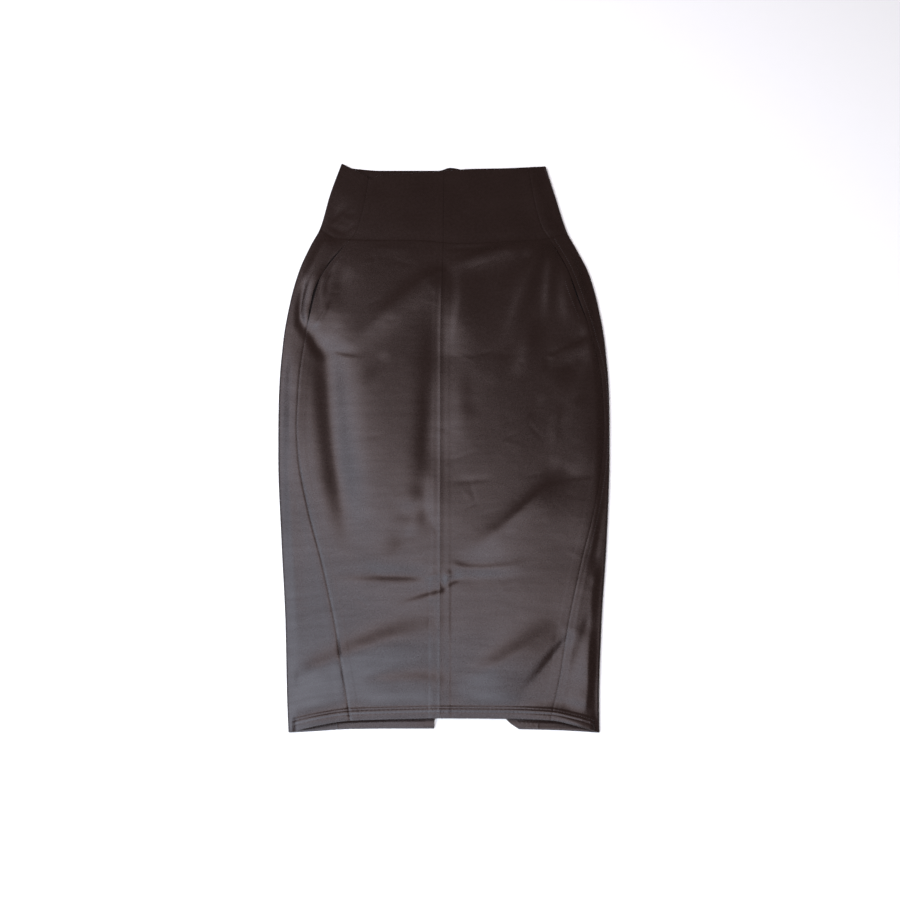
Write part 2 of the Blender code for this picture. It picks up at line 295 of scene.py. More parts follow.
# Folds of the front. Each runs along a smooth arc through three points and has its own width on the
# left and right of its way, its own height (below nought for a trough), and the shares of its length
# over which it rises and dies away:
#   x, y, x, y, x, y, left width, right width, height, rise, fade
frontFolds = [
    # drag folds at the ends of the waistband
    (-184, 284, -158, 304, -126, 332, 18, 6, -1.6, 0.3, 0.6),
    (-146, 274, -134, 283, -122, 296, 8, 3, -0.4, 0.4, 0.5),
    (-138, 300, -131, 307, -124, 318, 8, 3, -0.3, 0.4, 0.5),
    (139, 316, 150, 303, 166, 292, 12, 4, -0.6, 0.4, 0.4),
    (146, 298, 154, 288, 166, 280, 10, 4, -0.5, 0.4, 0.5),
    (62, 268, 100, 278, 136, 292, 14, 16, 0.6, 0.5, 0.4),
    (22, 303, 30, 307, 39, 311, 5, 5, -0.3, 0.5, 0.5),
    # the fine crease under the right half of the waistband seam
    (-4, 249, 58, 252, 122, 253, 10, 2.5, -0.6, 0.2, 0.4),
    (-120, 246, -70, 250, -30, 246, 8, 8, 0.3, 0.4, 0.4),
    # the diagonal ridge from the centre of the waistband down to the left pocket
    (8, 219, -58, 170, -124, 96, 23, 16, 3.7, 0.25, 0.42),
    (4, 220, -14, 210, -34, 197, 5, 5, 0.7, 0.3, 0.5),
    # dome of the left front, and the troughs on either side of it
    (-112, 150, -100, 10, -96, -190, 40, 30, 1.4, 0.3, 0.3),
    (-160, 170, -149, 6, -112, -198, 21, 16, -4.7, 0.36, 0.32),
    (-192, 156, -176, 114, -155, 84, 12, 7, -2.0, 0.4, 0.4),
    (0, 178, -14, 30, -22, -126, 36, 18, -2.9, 0.3, 0.3),
    (-8, 176, -14, 110, -26, 36, 24, 16, -0.7, 0.4, 0.4),
    (-21, 70, -21, 0, -27, -100, 28, 10, -0.9, 0.4, 0.4),
    (-22, -64, -27, -108, -19, -156, 10, 12, -1.3, 0.5, 0.4),
    (-38, -96, -48, -142, -80, -192, 10, 15, -1.9, 0.45, 0.45),
    (-112, -190, -74, -178, -28, -158, 14, 10, 0.4, 0.5, 0.5),
    (-66, -154, -42, -141, -14, -122, 12, 9, 0.6, 0.5, 0.5),
    (-66, -118, -42, -109, -16, -98, 11, 8, 0.6, 0.5, 0.5),
    # pocket folds on the left side panel
    (-178, 234, -198, 170, -184, 114, 6, 6, -1.7, 0.4, 0.3),
    (-146, 249, -169, 212, -173, 156, 5, 6, -1.3, 0.4, 0.4),
    (-156, 176, -165, 152, -179, 131, 3, 3, 0.9, 0.4, 0.3),
    (-146, 234, -159, 206, -164, 176, 4, 5, -0.8, 0.4, 0.4),
    (-130, 226, -142, 196, -150, 150, 14, 8, -0.8, 0.5, 0.5),
    (-150, 103, -134, 95, -100, 90, 10, 2.5, -0.5, 0.4, 0.5),
    (-72, 96, -90, 76, -106, 46, 9, 11, -0.7, 0.4, 0.5),
    # fan from the right end of the waistband
    (132, 264, 66, 246, 2, 214, 16, 9, 3.4, 0.35, 0.45),
    (24, 230, 23, 160, 3, 80, 26, 10, 2.0, 0.4, 0.4),
    (124, 252, 100, 224, 74, 186, 8, 8, -1.3, 0.3, 0.5),
    (146, 266, 115, 204, 78, 96, 15, 9, 3.8, 0.3, 0.5),
    (155, 262, 146, 205, 138, 132, 10, 8, 2.6, 0.3, 0.45),
    (168, 244, 168, 190, 170, 130, 14, 12, 2.3, 0.4, 0.4),
    (126, 150, 112, 104, 96, 60, 14, 9, 1.6, 0.5, 0.5),
    # right pocket
    (199, 136, 183, 116, 150, 103, 5, 14, -1.8, 0.5, 0.45),
    (208, 104, 180, 84, 140, 56, 34, 12, -2.2, 0.5, 0.4),
    (170, 111, 152, 99, 132, 88, 3, 5, -0.6, 0.4, 0.4),
    (140, 92, 138, 80, 134, 62, 6, 6, -0.5, 0.3, 0.6),
    (191, 216, 192, 196, 190, 174, 9, 3, -0.5, 0.4, 0.4),
    (184, 190, 182, 168, 186, 144, 11, 3, -0.9, 0.4, 0.4),
    (205, 108, 188, 68, 154, -4, 12, 8, 1.7, 0.35, 0.6),
    (192, 36, 168, 16, 150, -18, 10, 4, 0.6, 0.4, 0.4),
    (154, 25, 147, -5, 143, -42, 7, 8, 0.5, 0.4, 0.4),
    (132, 38, 121, 16, 112, -2, 6, 7, -0.4, 0.4, 0.4),
    (44, 80, 36, 40, 30, 0, 14, 12, -0.5, 0.4, 0.4),
    (24, 70, 24, 20, 20, -34, 12, 13, 0.5, 0.4, 0.4),
    (82, 98, 72, 70, 62, 44, 10, 11, 0.4, 0.4, 0.4),
    (132, 135, 110, 92, 84, 36, 12, 13, 0.6, 0.4, 0.4),
    # across the right knee
    (158, -64, 90, -135, 18, -188, 40, 15, 3.3, 0.35, 0.35),
    (148, -48, 138, -66, 128, -88, 9, 9, -0.4, 0.5, 0.5),
    (160, -66, 108, -114, 50, -164, 16, 7, 1.7, 0.4, 0.5),
    (208, -14, 184, -46, 156, -76, 14, 12, 0.6, 0.4, 0.5),
    (0, -86, 34, -83, 68, -79, 7, 3, -0.25, 0.4, 0.4),
    (108, -92, 152, -81, 200, -74, 12, 3, -0.25, 0.4, 0.2),
    # creases that meet over the top of the vent
    (-154, -204, -76, -204, -12, -206, 12, 5.5, -1.3, 0.55, 0.3),
    (-108, -192, -70, -191, -36, -192, 7, 7, 0.15, 0.4, 0.4),
    (2, -187, 50, -196, 116, -184, 4, 9, 0.7, 0.25, 0.45),
    (4, -207, 60, -207, 128, -204, 6, 9, -0.4, 0.3, 0.5),
    (-70, -242, -28, -227, 6, -219, 14, 4, -1.3, 0.6, 0.15),
    (-4, -222, 8, -213, 26, -206, 7, 3, -1.0, 0.3, 0.35),
    (-2, -206, 5, -204, 12, -200, 4, 4, 0.6, 0.4, 0.4),
    (-28, -208, -14, -205, -2, -199, 3, 3, 0.4, 0.4, 0.4),
    (-14, -232, -14, -252, -16, -278, 5, 5, -0.4, 0.3, 0.4),
    # across the lower left
    (24, -263, -90, -294, -194, -345, 24, 17, 5.9, 0.6, 0.22),
    (20, -337, -50, -334, -122, -344, 28, 11, 2.3, 0.35, 0.4),
    # across the lower right
    (146, -256, 88, -302, 8, -346, 40, 15, 4.8, 0.6, 0.35),
    (160, -270, 132, -306, 82, -362, 12, 7, -1.9, 0.35, 0.6),
    (148, -268, 141, -276, 132, -286, 4, 4, -0.3, 0.4, 0.4),
    # shoulders of the side panels
    (170, 270, 198, 60, 180, -218, 11, 40, 2.4, 0.15, 0.15),
    (126, 386, 138, 322, 170, 262, 10, 16, 1.2, 0.1, 0.2),
    (-150, 284, -168, 240, -187, 160, 13, 34, 3.0, 0.25, 0.3),
    (-196, 130, -199, 20, -196, -90, 12, 22, 1.5, 0.3, 0.5),
    (-202, 0, -198, -160, -180, -330, 14, 9, 1.2, 0.4, 0.3),
    # down the right side panel
    (196, -170, 180, -262, 160, -340, 14, 30, 2.2, 0.3, 0.4),
    (204, -110, 196, -158, 184, -204, 6, 9, -1.2, 0.3, 0.3),
    (203, -190, 194, -204, 184, -218, 5, 5, 0.8, 0.4, 0.4),
    (187, -262, 179, -322, 158, -388, 10, 22, 3.0, 0.5, 0.05),
    (186, -238, 171, -282, 150, -330, 9, 7, -1.5, 0.4, 0.4),
    # storage creases across the whole front
    (-60, 91, 40, 91, 132, 92, 8, 3, -0.10, 0.4, 0.3),
    (-90, -9, 0, -10, 100, -11, 8, 3, -0.05, 0.4, 0.3),
]


# Short faint creases scattered over the front, most of them across it
smallCreases = {
    "seed": 21,
    "count": 150,
    "reach": (185.0, 375.0),  # of their middles from the middle of the skirt
    "length": (14.0, 52.0),
    "width": (1.8, 4.2),
    "height": (-0.15, 0.10),
    "lean": (34.0, 8.0),  # degrees either way, and the lean that most have
    "bow": 0.12,  # of half the length
    "rise": 0.45,  # and the share over which they die away
}


def scatterCreases(look):
    draw = np.random.default_rng(look["seed"])
    rows = []
    for i in range(look["count"]):
        x, y = (draw.uniform(-reach, reach) for reach in look["reach"])
        spread, common = look["lean"]
        lean = math.radians(draw.normal() * spread + common)
        half = draw.uniform(*look["length"]) / 2
        dx, dy = half * math.cos(lean), half * math.sin(lean)
        bow = draw.uniform(-look["bow"], look["bow"]) * half
        widths = draw.uniform(*look["width"]), draw.uniform(*look["width"])
        height = draw.uniform(*look["height"])
        ends = look["rise"], look["rise"]
        rows.append((x - dx, y - dy, x, y + bow, x + dx, y + dy, *widths, height, *ends))
    return rows


frontFolds = frontFolds + scatterCreases(smallCreases)


arcSteps = 18
foldReach = 2.6  # widths from its middle line where a fold has died away


def arcPoints(fold):
    # points of the parabola through a fold's start, middle and end
    start, middle, end = (np.array(fold[i:i + 2], float) for i in (0, 2, 4))
    control = 2 * middle - (start + end) / 2
    t = np.linspace(0.0, 1.0, arcSteps + 1)[:, None]
    return (1 - t) ** 2 * start + 2 * t * (1 - t) * control + t * t * end


def foldHeights(x, y, folds):
    # the sum of the folds at every point
    flatX, flatY = np.ravel(x), np.ravel(y)
    total = np.zeros(flatX.shape)
    for fold in folds:
        path = arcPoints(fold)
        leftWidth, rightWidth, height, rise, fade = fold[6:]
        reach = foldReach * max(leftWidth, rightWidth)
        low, high = path.min(0) - reach, path.max(0) + reach
        within = (flatX > low[0]) & (flatX < high[0]) & (flatY > low[1]) & (flatY < high[1])
        near = np.flatnonzero(within)
        if not len(near):
            continue
        px, py = flatX[near], flatY[near]
        best = np.full(len(near), 1e9)
        along = np.zeros(len(near))
        lean = np.zeros(len(near))
        for i in range(len(path) - 1):
            a, step = path[i], path[i + 1] - path[i]
            size = step @ step
            t = np.clip(((px - a[0]) * step[0] + (py - a[1]) * step[1]) / size, 0.0, 1.0)
            dx, dy = px - a[0] - t * step[0], py - a[1] - t * step[1]
            far = dx * dx + dy * dy
            closer = far < best
            best = np.where(closer, far, best)
            along = np.where(closer, (i + t) / (len(path) - 1), along)
            lean = np.where(closer, (step[0] * dy - step[1] * dx) / math.sqrt(size), lean)
        distance = np.sqrt(best)
        toLeft = 0.5 + 0.5 * np.clip(lean / np.maximum(distance, 1e-6), -1.0, 1.0)
        width = rightWidth + (leftWidth - rightWidth) * ease(toLeft)
        strength = ease(along / rise) * ease((1 - along) / fade)
        total[near] += height * strength * bump(distance, width)
    return total.reshape(np.shape(x))


waveCount = 9
waveSpread = (0.6, 1.7)  # of the wavelength


def undulation(x, y, seed, wavelength, height):
    # a faint unevenness that no cloth is without
    draw = np.random.default_rng(seed)
    total = np.zeros(np.shape(x))
    for i in range(waveCount):
        angle, phase = (i + draw.uniform()) * math.pi / waveCount, draw.uniform(0, 2 * math.pi)
        wave = wavelength * draw.uniform(*waveSpread)
        total += np.sin((x * math.cos(angle) + y * math.sin(angle)) * 2 * math.pi / wave + phase)
    return total * height / math.sqrt(waveCount)


# Relief of the seams. Allowances pressed open behind the cloth show as low flat ridges beside a seam.
seamRelief = {
    "rollWidth": 1.3,  # over which a panel rolls down into its seams
    "rollDepth": 0.24,
    "bandStep": (14.0, 0.5),  # reach and depth of its dip to its lower seam
    "bandRollDepth": 0.3,
    "bandOnBack": 0.3,  # share of both on the back
    "centreRollDepth": 0.14,
    "lowerRoll": (2.0, 0.28),  # low on the left princess seam: half width, depth
    "lowerRollStart": (400, 120),  # level, reach
    "centreRidge": (-0.6, 2.4, 0.4),  # offset from the seam, half width, height
    "ridgeStart": (30, 40, 0.35),  # below the band, reach, share on the band
    "allowance": 10.0,  # how far the allowances reach from the seam
    "allowanceEdge": 2.2,
    "allowanceHeight": 0.10,
    "pressed": (-1.0, 12.0, 1.3, 0.22),  # low on the centre seam: offset, reach, edge, height
    "pressedStart": (560, 60),
    "topstitch": (7.0, 1.6, 0.13, 12),  # right princess seam: offset, width, height, length of step
    "topstitchStart": (330, 90),
    "hemStitches": (13.3, 8.2),  # above the hem edge
    "hemPuff": (0.28, 2.2),  # between the two rows: height, half width
    "hemStep": (0.55, 3.0),  # height of the doubled hem, reach
    "hemLift": (1.2, 60.0),  # soft rise towards it
    "hemCurlReach": 27.0,
    "stitchSink": 0.24,
    "stitchWidth": 1.1,
    "puckers": (5.2, 0.3),  # pitch along a row of stitches, and strength
}


def puckers(along):
    pitch, strength = seamRelief["puckers"]
    return 1 + strength * np.sin(along * 2 * math.pi / pitch)


def hemStitchSink(aboveHem):
    upper, lower = seamRelief["hemStitches"]
    width = seamRelief["stitchWidth"]
    return seamRelief["stitchSink"] * (bump(aboveHem - upper, width) + bump(aboveHem - lower, width))


def seamSink(level, x, onBack):
    # how deep the outer face rolls in beside the seams
    r = seamRelief
    sink = np.zeros(np.broadcast(level, x).shape)
    for side in (left, right):
        front = x - princess[side](level)
        back = x + princess[-side](level)
        sink = sink + r["rollDepth"] * bump(np.where(onBack, back, front), r["rollWidth"])
    width, depth = r["lowerRoll"]
    low = grown(level, *r["lowerRollStart"]) * puckers(level)
    sink = sink + depth * low * bump(x - princess[left](level), width) * np.where(onBack, 0.0, 1.0)
    centre = np.where(onBack, x + centreSeam(level), x - centreSeam(level))
    closed = np.where(onBack, level < skirt["ventTop"], True)
    sink = sink + r["centreRollDepth"] * bump(centre, r["rollWidth"]) * closed
    belowBand = level - skirt["bandDepth"]
    reach, step = r["bandStep"]
    dip = np.where(belowBand < 0, step * bump(belowBand, reach),
                   r["bandRollDepth"] * bump(belowBand, r["rollWidth"]))
    return sink + dip * np.where(onBack, r["bandOnBack"], 1.0)


def allowanceStep(offset):
    r = seamRelief
    within = r["allowance"] + r["allowanceEdge"] - np.abs(offset)
    return r["allowanceHeight"] * ease(within / r["allowanceEdge"])


def frontSeamHeight(level, x):
    r = seamRelief
    centre = x - centreSeam(level)
    offset, width, height = r["centreRidge"]
    ridge = height * bump(centre - offset, width)
    total = ridge * grown(level - skirt["bandDepth"], *r["ridgeStart"]) + allowanceStep(centre)
    offset, reach, edge, height = r["pressed"]
    low = height * grown(level, *r["pressedStart"])
    total = total + low * ease((reach + edge - np.abs(centre - offset)) / edge)
    for side in (left, right):
        total = total + allowanceStep(x - princess[side](level))
    offset, width, height, length = r["topstitch"]
    beyond = x - princess[right](level) - offset
    step = ease(beyond / width + 0.5) * ease(1 - beyond / length)
    step = step + (puckers(level) - 1) * bump(beyond, width)
    total = total + height * step * grown(level, *r["topstitchStart"])
    aboveHem = skirt["length"] - level
    height, width = r["hemPuff"]
    total = total + height * bump(aboveHem - sum(r["hemStitches"]) / 2, width)
    total = total - hemStitchSink(aboveHem) * puckers(x)
    total = total + frontCurl(x) * ease(1 - aboveHem / r["hemCurlReach"])
    height, reach = r["hemLift"]
    total = total + height * ease(1 - aboveHem / reach)
    height, reach = r["hemStep"]
    return total + height * ease((skirt["hemDepth"] - aboveHem) / reach)


# Pocket bags, which lift the front a little: y, inner side, outer side of the right bag
pocketBag = {
    "topY": 250.0,
    "bottomY": 90.1,
    "shape": [(89.5, 112, 126), (93, 99, 137), (98, 91.5, 150), (107.5, 87.5, 168), (114, 86, 177),
              (119, 86, 184), (131, 86, 194), (160, 86, 186), (200, 86, 176), (250, 86, 150)],
    "leftShift": 8.0,  # the left bag lies this much nearer the middle
    "cover": (86.0, 89.0),  # inner side and lower edge of what the bag lifts
    "coverLead": 1.3,  # soft edges by which its inner side is moved in
    "softEdge": 12.0,
    "levels": (124.0, 252.0),
    "underlap": 6.0,
    "setback": 2.0,
    "plyWall": 0.6,
    "levelShift": 10.0,  # between the side fold's level and the seam's
    "cornerY": 131,  # where the bag leaves the princess seam
    "shiftOver": 20,  # reach below the corner over which the left shift grows
    "rows": 40,
    "columns": 22,
    "waves": (5, 40.0, 0.05),  # seed, wavelength, height
    "backPly": 1.75,  # height of its underside
    "frontPly": 2.75,
}


def pocketCover(x, y):
    # 1 over a pocket bag, 0 away from it
    bag = pocketBag
    soft = bag["softEdge"]
    inner, bottom = bag["cover"]
    reach = np.where(x > 0, x, bag["leftShift"] - x)
    top = skirt["length"] / 2 - skirt["bandDepth"] - soft
    across = ease((reach - inner) / soft + bag["coverLead"])
    return across * ease((top - y) / soft) * ease((y - bottom) / soft + 1)


# How the front lies over the back
frontLie = {
    "crown": (4.2, 3.1),  # height between the side folds, of its round and its flat part
    "crownAtWaist": (0.0, 150.0, 0.35),  # where it begins to grow, reach, share there
    "crownAtHem": (0.0, 120.0, 0.5),
    "topRoll": (0.9, 48.0),  # down to the top edge, over this depth
    "looseFrom": 13.0,  # reach from the side folds over which folds begin
    "seamsFrom": 8.0,
    "heldAtBand": (0.55, 7.0),  # share held down by the waistband's seam, reach
    "looseAtHem": (12, 22, 0.3),  # where they begin to grow, reach, share there
    "waves": ((3, 64.0, 0.06), (8, 23.0, 0.012)),  # seed, wavelength, height
    "least": (2.5, 2.3),  # height over one ply, and more over others
    "softness": 0.3,
    "plyBlend": 6,  # reach over which the doubled band and hem begin
    "hemPlyReach": 5,
}


def frontHeight(level, x, y):
    # height of the front layer's outer face
    f = frontLie
    leftLine, rightLine = foldLine(level, left), foldLine(level, right)
    inset = np.minimum(x - leftLine, rightLine - x)
    aboveHem = skirt["length"] - level
    belowBand = level - skirt["bandDepth"]
    across = np.clip(np.where(x < 0, x / leftLine, x / rightLine), 0.0, 1.0)
    rounded, flat = f["crown"]
    crown = rounded * (1 - across ** 2) + flat * (1 - across ** 4)
    crown = crown * grown(level, *f["crownAtWaist"]) * grown(aboveHem, *f["crownAtHem"])
    roll, depth = f["topRoll"]
    crown = crown - roll * ease(1 - level / depth)
    held, reach = f["heldAtBand"]
    loose = ease(inset / f["looseFrom"]) * (1 - held * bump(belowBand, reach))
    loose = loose * grown(aboveHem, *f["looseAtHem"])
    waves = sum(undulation(x, y, *wave) for wave in f["waves"])
    height = 2 * skirt["foldRadius"] + crown
    height = height + loose * (foldHeights(x, y, frontFolds) + waves)
    height = height + frontSeamHeight(level, x) * ease(inset / f["seamsFrom"])
    # it never sinks into what lies beneath
    blend = f["plyBlend"]
    twoPlies = np.maximum(ease((blend / 2 - belowBand) / blend),
                          ease((skirt["hemDepth"] + f["hemPlyReach"] - aboveHem) / blend))
    onePly, more = f["least"]
    least = onePly + more * np.maximum(pocketCover(x, y), twoPlies)
    return least + f["softness"] * np.logaddexp(0.0, (height - least) / f["softness"])


# Gentler folds of the hidden back, which rests on its outer face
backFolds = [
    (-150, 300, -60, 292, 30, 298, 9, 9, 0.7, 0.3, 0.4),
    (60, 306, 110, 288, 160, 280, 8, 8, 0.6, 0.3, 0.4),
    (-178, 180, -120, 130, -60, 60, 10, 12, 0.8, 0.3, 0.4),
    (170, 150, 120, 80, 90, -10, 11, 12, 0.8, 0.3, 0.4),
    (30, 190, 24, 60, 40, -90, 10, 13, 0.9, 0.3, 0.3),
    (-170, 40, -150, -60, -120, -170, 12, 10, 0.9, 0.2, 0.4),
    (-110, -40, -60, -90, -12, -140, 10, 10, 0.8, 0.3, 0.4),
    (150, -120, 90, -150, 26, -170, 9, 9, 0.8, 0.3, 0.3),
    (-140, -208, -60, -206, -4, -204, 6, 7, 0.9, 0.4, 0.2),
    (6, -200, 70, -206, 150, -202, 6, 6, 0.8, 0.2, 0.4),
    (-160, -330, -110, -300, -60, -262, 10, 10, 0.8, 0.3, 0.4),
    (160, -310, 120, -280, 80, -240, 9, 9, 0.7, 0.3, 0.4),
    (-150, 92, 0, 90, 160, 93, 3, 3, 0.3, 0.2, 0.2),
    (-150, -84, 0, -86, 160, -84, 3, 3, 0.35, 0.2, 0.2),
]

# How the back lies on the surface
backLie = {
    "looseFrom": 14.0,  # reach from the side folds over which folds begin
    "looseAtHem": (20, 20),  # flat up to here, reach
    "heldAtBand": (14, 10),  # on either side of its seam
    "heldAtPockets": 0.8,
    "seamsFrom": 8.0,
    "curlReach": 15.0,
}


def backLift(level, x, y):
    # how far the back's outer face stands off the surface it lies on
    b = backLie
    inset = np.minimum(x - foldLine(level, left), foldLine(level, right) - x)
    aboveHem = skirt["length"] - level
    free = ease(inset / b["looseFrom"]) * grown(aboveHem, *b["looseAtHem"])
    reach, soft = b["heldAtBand"]
    free = free * (1 - ease((reach - np.abs(level - skirt["bandDepth"])) / soft))
    free = free * (1 - b["heldAtPockets"] * pocketCover(x, y))
    curl = backCurl(x) * ease(1 - aboveHem / b["curlReach"]) * ease(inset / b["looseFrom"])
    rows = hemStitchSink(aboveHem) * puckers(x) * ease(inset / b["seamsFrom"])
    return foldHeights(x, y, backFolds) * free + rows + curl


def clothPoint(level, x, turn, depth=0.0, drop=0.0):
    # where points of the cloth lie, in metres; drop moves them down the skirt, as at a turned edge
    level, x, turn, depth, drop = np.broadcast_arrays(
        *(np.asarray(value, float) for value in (level, x, turn, depth, drop)))
    y = clothY(level, x, turn)
    onFront, onBack = turn == 0.0, turn == 180.0
    radius = skirt["foldRadius"]
    depthIn = depth + seamSink(level, x, onBack)
    z = np.empty(x.shape)
    z[onFront] = frontHeight(level[onFront], x[onFront], y[onFront]) - depthIn[onFront]
    z[onBack] = backLift(level[onBack], x[onBack], y[onBack]) + depthIn[onBack]
    x = x.copy()
    for side in (left, right):
        arc = ~onFront & ~onBack & ((x < 0) == (side == left))
        angle = np.radians(turn[arc])
        x[arc] = foldLine(level[arc], side) + side * (radius - depth[arc]) * np.sin(angle)
        z[arc] = radius + (radius - depth[arc]) * np.cos(angle)
    return np.stack([x, y - drop, z], -1) * millimetre


# Knit and thread

knit = {
    "colour": (0.0130, 0.0070, 0.0054),
    "worn": (0.0160, 0.0088, 0.0070),
    "roughness": (0.26, 0.29),
    "specular": 0.36,
    "nap": 0.10,  # share by which brushing changes the shine
    "sheen": (0.0, 0.45),  # weight and roughness
    "wale": 0.00085,  # width of one column of stitches
    "course": 0.00070,
    "stitchRelief": (0.000012, 0.7),  # depth in metres, and strength
    "fuzzRelief": (0.000009, 0.8),
    "handlingRelief": (0.00010, 0.3),
    "slant": 1.3,  # of the two legs of a stitch
    "legHeight": 0.3,  # of a rib between two loops
    # unevenness: how fine, its detail, and its stretch along x, y and z
    "fuzz": (620.0, 3.0),
    "mottle": (260.0, 4.0),
    "drift": (16.0, 3.0),
    "handling": (34.0, 2.0, (0.5, 3.2, 1.0)),
    "mottleShare": 0.55,  # of the colour's unevenness, and the drift has the rest
    "handlingShare": 0.6,  # of the nap's
    "colourRange": 0.14,  # half of the noise's range that counts
    "roughRange": 0.2,
}
pocketKnit = dict(knit, colour=(0.0130, 0.0090, 0.0082), worn=(0.0180, 0.0130, 0.0120),
                  roughness=(0.5, 0.62), specular=0.25, sheen=(0.04, 0.45), wale=0.00065,
                  course=0.00055)
thread = {
    "colour": (0.046, 0.037, 0.035),
    "lighter": 1.35,  # times as light in places
    "roughness": 0.55,
    "specular": 0.32,
    "ply": 0.00035,
    "plyRelief": (0.0001, 0.5),
    "plyRange": 0.15,
}


def newMaterial(name):
    material = bpy.data.materials.new(name)
    material.use_nodes = True
    tree = material.node_tree
    tree.nodes.clear()
    shader = tree.nodes.new("ShaderNodeBsdfPrincipled")
    output = tree.nodes.new("ShaderNodeOutputMaterial")
    tree.links.new(shader.outputs["BSDF"], output.inputs["Surface"])
    return material, tree, shader


def addNode(tree, kind, sockets, **settings):
    # every socket is given its value, or the output that feeds it
    node = tree.nodes.new("ShaderNode" + kind)
    for name, value in settings.items():
        setattr(node, name, value)
    for name, value in sockets.items():
        if isinstance(value, bpy.types.NodeSocket):
            tree.links.new(value, node.inputs[name])
        else:
            node.inputs[name].default_value = value
    return node


def mathNode(tree, operation, *values):
    return addNode(tree, "Math", dict(enumerate(values)), operation=operation).outputs[0]


def noiseNode(tree, vector, scale, detail, stretch=(1.0, 1.0, 1.0)):
    mapping = addNode(tree, "Mapping", {"Scale": stretch, "Vector": vector})
    sockets = {"Scale": scale, "Detail": detail, "Vector": mapping.outputs["Vector"]}
    return addNode(tree, "TexNoise", sockets).outputs["Fac"]


def rangeNode(tree, value, half, low, high):
    # noise within half of its middle value, spread from low to high
    sockets = {"Value": value, "From Min": 0.5 - half, "From Max": 0.5 + half, "To Min": low,
               "To Max": high}
    return addNode(tree, "MapRange", sockets).outputs["Result"]


def twoColours(tree, factor, first, second):
    sockets = {"Factor": factor, "A": (*first, 1.0), "B": (*second, 1.0)}
    return addNode(tree, "Mix", sockets, data_type="RGBA").outputs["Result"]


def bumpNode(tree, height, distance, strength, **normal):
    sockets = {"Distance": distance, "Strength": strength, "Height": height, **normal}
    return addNode(tree, "Bump", sockets).outputs["Normal"]


def knitMaterial(name, look):
    material, tree, shader = newMaterial(name)
    cloth = addNode(tree, "UVMap", {}, uv_map="cloth").outputs["UV"]
    split = addNode(tree, "SeparateXYZ", {0: cloth})

    def calc(operation, *values):
        return mathNode(tree, operation, *values)

    # columns of V stitches: each leg slants up towards the edge of its column
    wale = calc("FRACT", calc("MULTIPLY", split.outputs["X"], 1 / look["wale"]))
    legs = calc("ABSOLUTE", calc("SUBTRACT", wale, 0.5))
    up = calc("MULTIPLY", split.outputs["Y"], 1 / look["course"])
    course = calc("ADD", up, calc("MULTIPLY", legs, look["slant"]))
    loops = calc("SINE", calc("MULTIPLY", calc("FRACT", course), math.pi))
    ribs = calc("SINE", calc("MULTIPLY", calc("FRACT", calc("MULTIPLY", legs, 2.0)), math.pi))
    stitch = calc("MULTIPLY", calc("ADD", loops, look["legHeight"]), ribs)

    scales = ("fuzz", "mottle", "drift", "handling")
    fuzz, mottle, drift, handling = (noiseNode(tree, cloth, *look[name]) for name in scales)
    normal = bumpNode(tree, stitch, *look["stitchRelief"])
    normal = bumpNode(tree, fuzz, *look["fuzzRelief"], Normal=normal)
    normal = bumpNode(tree, handling, *look["handlingRelief"], Normal=normal)
    tree.links.new(normal, shader.inputs["Normal"])

    def blend(first, second, share):
        return calc("ADD", calc("MULTIPLY", first, share), calc("MULTIPLY", second, 1 - share))

    wear = rangeNode(tree, blend(mottle, drift, look["mottleShare"]), look["colourRange"], 0.0, 1.0)
    colour = twoColours(tree, wear, look["colour"], look["worn"])
    tree.links.new(colour, shader.inputs["Base Color"])
    rough = rangeNode(tree, mottle, look["roughRange"], *look["roughness"])
    tree.links.new(rough, shader.inputs["Roughness"])
    dull, bright = (look["specular"] * (1 + change) for change in (-look["nap"], look["nap"]))
    napped = blend(handling, drift, look["handlingShare"])
    shine = rangeNode(tree, napped, look["colourRange"], dull, bright)
    tree.links.new(shine, shader.inputs["Specular IOR Level"])
    weight, roughness = look["sheen"]
    shader.inputs["Sheen Weight"].default_value = weight
    shader.inputs["Sheen Roughness"].default_value = roughness
    return material


def threadMaterial(name, look):
    material, tree, shader = newMaterial(name)
    place = tree.nodes.new("ShaderNodeTexCoord")
    twist = noiseNode(tree, place.outputs["Object"], 1 / look["ply"], 1.0)
    tree.links.new(bumpNode(tree, twist, *look["plyRelief"]), shader.inputs["Normal"])
    shade = rangeNode(tree, twist, look["plyRange"], 0.0, 1.0)
    lighter = [value * look["lighter"] for value in look["colour"]]
    colour = twoColours(tree, shade, look["colour"], lighter)
    tree.links.new(colour, shader.inputs["Base Color"])
    shader.inputs["Roughness"].default_value = look["roughness"]
    shader.inputs["Specular IOR Level"].default_value = look["specular"]
    return material


finishes = {
    "knit": knitMaterial("brownBlackKnit", knit),
    "pocket_knit": knitMaterial("pocketKnit", pocketKnit),
    "thread": threadMaterial("sewingThread", thread),
}
print("finishes: knit, pocket knit and thread")


# Panels. rows give (level, depth, drop, run) down a piece, and columns give x, turn and the distance
# across for every level.

panelCount = {
    "seamInsets": (0.0, 0.35, 0.8, 1.4, 2.2),  # columns and rows beside a seam
    "skirtRows": 315,
    "backRows": 210,
    "nearHem": (17.0, 24),  # where rows lie closer: distance, rows
    "insideHem": 12,
    "bandRows": 56,
    "insideBand": 26,
    "frontColumns": 118,
    "bandFrontColumns": 70,
    "sideFront": 30,
    "sideArc": 11,
    "sideBack": 16,
    "backColumns": 46,
    "facingRows": (56, 9),  # on the panel and on the hem
    "facingColumns": 9,
    "edgeAngles": (22, 45, 67, 90, 113, 135, 158),  # degrees round a turned edge
    "edgeBulge": 0.5,  # 1 is a half circle
}


